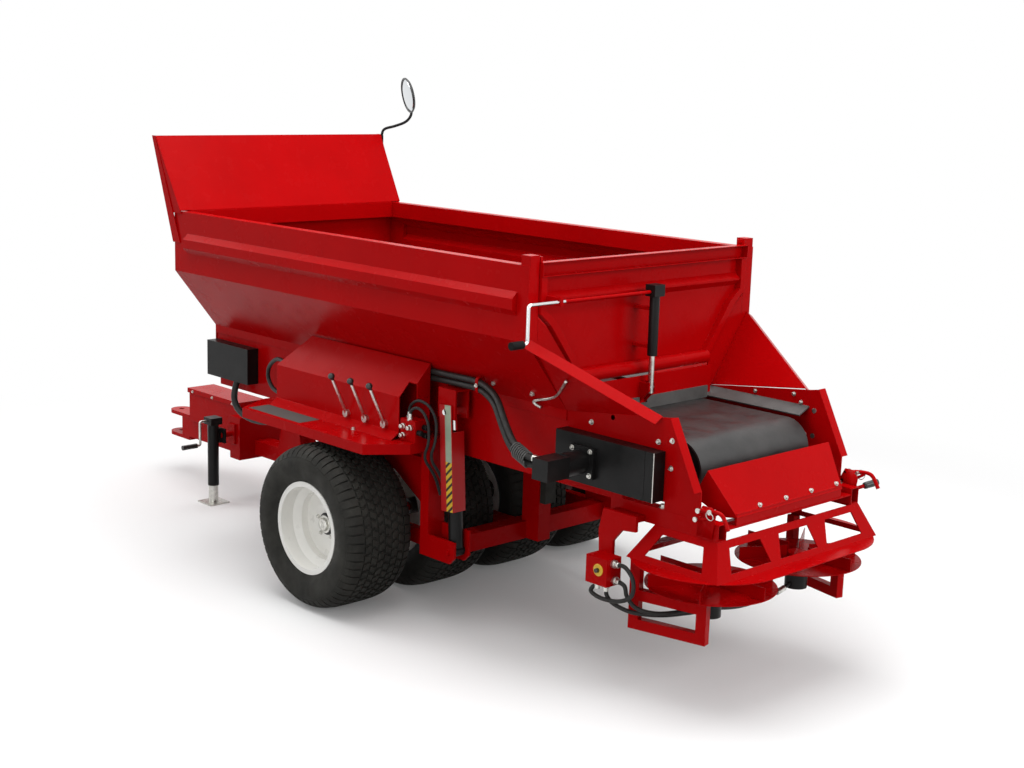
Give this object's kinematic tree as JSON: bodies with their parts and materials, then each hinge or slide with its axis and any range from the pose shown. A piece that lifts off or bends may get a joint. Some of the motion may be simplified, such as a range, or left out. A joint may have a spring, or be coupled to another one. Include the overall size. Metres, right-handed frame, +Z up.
{
  "type": "topdresser",
  "caption": "Towed topdresser with a sloped hopper and conveyor on in-line turf tyres, a lifting bed, a metering gate and a twin-disc spinner under its tail.",
  "frame": {"origin": "on the ground under the middle of the machine's overall box, midway between its sides", "axes": "+X towards the hitch, +Y to the left, +Z up"},
  "size_m": [4.5619, 1.822, 2.317],
  "materials": {
    "red": "gloss",
    "white": "satin",
    "tyre": "matte",
    "rubber": "matte",
    "black": "satin",
    "zinc": "satin",
    "chrome": "polished",
    "mirror": "polished"
  },
  "bodies": {
    "chassis": {"axle_frame": "red", "buffer_rubber": "rubber", "walking_axles": "red", "drawbar_beam": "red", "tongue": "red", "tool_box": "red", "jack_mount": "red", "control_deck": "red", "valve_cover": "red", "control_levers": "zinc", "valve_block": "red", "valve_hoses": "rubber"},
    "hopper": {"hopper_side_left": "red", "hopper_side_right": "red", "hopper_front": "red", "front_extension": "red", "mirror_arm": "black", "mirror": "mirror", "rear_posts": "red", "conveyor_sides": "red", "lift_brackets": "red", "conveyor_belt": "rubber", "conveyor_rollers": "zinc", "side_skirts": "rubber", "roller_guards": "black", "drive_motor": "black", "drive_hoses": "rubber", "wing_plates": "red", "discharge_plates": "red", "spinner_rails": "red", "spinner_chute": "red", "spinner_guard": "red", "spinner_legs": "red", "spinner_motors": "black", "flow_valve": "red"},
    "tailgate": {"tailgate": "red", "gate_jack": "black", "gate_crank": "zinc"},
    "gate": {"gate_plate": "red", "gate_seal": "rubber", "gate_rod": "zinc"},
    "parking_jack": {"jack_tube": "black", "jack_foot": "zinc", "jack_crank": "zinc"},
    "barrel_left": {"cylinder_barrel_left": "red"},
    "barrel_right": {"cylinder_barrel_right": "red"},
    "rod_left": {"cylinder_rod_left": "chrome", "safety_prop_left": "red"},
    "rod_right": {"cylinder_rod_right": "chrome", "safety_prop_right": "red"},
    "disc_left": {"spinner_disc_left": "red"},
    "disc_right": {"spinner_disc_right": "red"},
    "wheel_1": {"tyre_1": "tyre", "rim_1": "white"},
    "wheel_2": {"tyre_2": "tyre", "rim_2": "white"},
    "wheel_3": {"tyre_3": "tyre", "rim_3": "white"},
    "wheel_4": {"tyre_4": "tyre", "rim_4": "white"}
  },
  "joints": [
    {"name": "wheel_1_spin", "type": "hinge", "parent": "chassis", "child": "wheel_1", "pos_m": [-0.209, 0.733, 0.368], "axis": [0, 1, 0], "continuous": true},
    {"name": "wheel_2_spin", "type": "hinge", "parent": "chassis", "child": "wheel_2", "pos_m": [-0.209, 0.238, 0.368], "axis": [0, 1, 0], "continuous": true},
    {"name": "wheel_3_spin", "type": "hinge", "parent": "chassis", "child": "wheel_3", "pos_m": [-0.209, -0.238, 0.368], "axis": [0, 1, 0], "continuous": true},
    {"name": "wheel_4_spin", "type": "hinge", "parent": "chassis", "child": "wheel_4", "pos_m": [-0.209, -0.733, 0.368], "axis": [0, 1, 0], "continuous": true},
    {"name": "hopper_lift", "type": "hinge", "parent": "chassis", "child": "hopper", "pos_m": [1.071, 0, 0.64], "axis": [0, 1, 0], "range_deg": [0, 12]},
    {"name": "barrel_left_tilt", "type": "hinge", "parent": "chassis", "child": "barrel_left", "pos_m": [-0.793, 0.521, 0.339], "axis": [0, 1, 0], "range_deg": [0, 4.8]},
    {"name": "rod_left_slide", "type": "slide", "parent": "barrel_left", "child": "rod_left", "axis": [0.0623, 0, 0.9981], "range_m": [0, 0.386]},
    {"name": "barrel_right_tilt", "type": "hinge", "parent": "chassis", "child": "barrel_right", "pos_m": [-0.793, -0.521, 0.339], "axis": [0, 1, 0], "range_deg": [0, 4.8]},
    {"name": "rod_right_slide", "type": "slide", "parent": "barrel_right", "child": "rod_right", "axis": [0.0623, 0, 0.9981], "range_m": [0, 0.386]},
    {"name": "tailgate_swing", "type": "hinge", "parent": "hopper", "child": "tailgate", "pos_m": [-1.337, 0, 1.662], "axis": [0, 1, 0], "range_deg": [0, 60]},
    {"name": "gate_slide", "type": "slide", "parent": "tailgate", "child": "gate", "axis": [0, 0, 1], "range_m": [0, 0.11]},
    {"name": "disc_left_spin", "type": "hinge", "parent": "hopper", "child": "disc_left", "pos_m": [-1.989, 0.279, 0.456], "axis": [0, 0, 1], "continuous": true},
    {"name": "disc_right_spin", "type": "hinge", "parent": "hopper", "child": "disc_right", "pos_m": [-1.989, -0.279, 0.456], "axis": [0, 0, 1], "continuous": true},
    {"name": "parking_jack_swing", "type": "hinge", "parent": "chassis", "child": "parking_jack", "pos_m": [1.461, 0.215, 0.375], "axis": [0, 1, 0], "range_deg": [0, 90]}
  ],
  "couplings": [
    {"joint": "barrel_left_tilt", "follows": "hopper_lift", "ratio": 0.3805},
    {"joint": "rod_left_slide", "follows": "hopper_lift", "m_per_rad": 1.828},
    {"joint": "barrel_right_tilt", "follows": "hopper_lift", "ratio": 0.3805},
    {"joint": "rod_right_slide", "follows": "hopper_lift", "m_per_rad": 1.828}
  ]
}
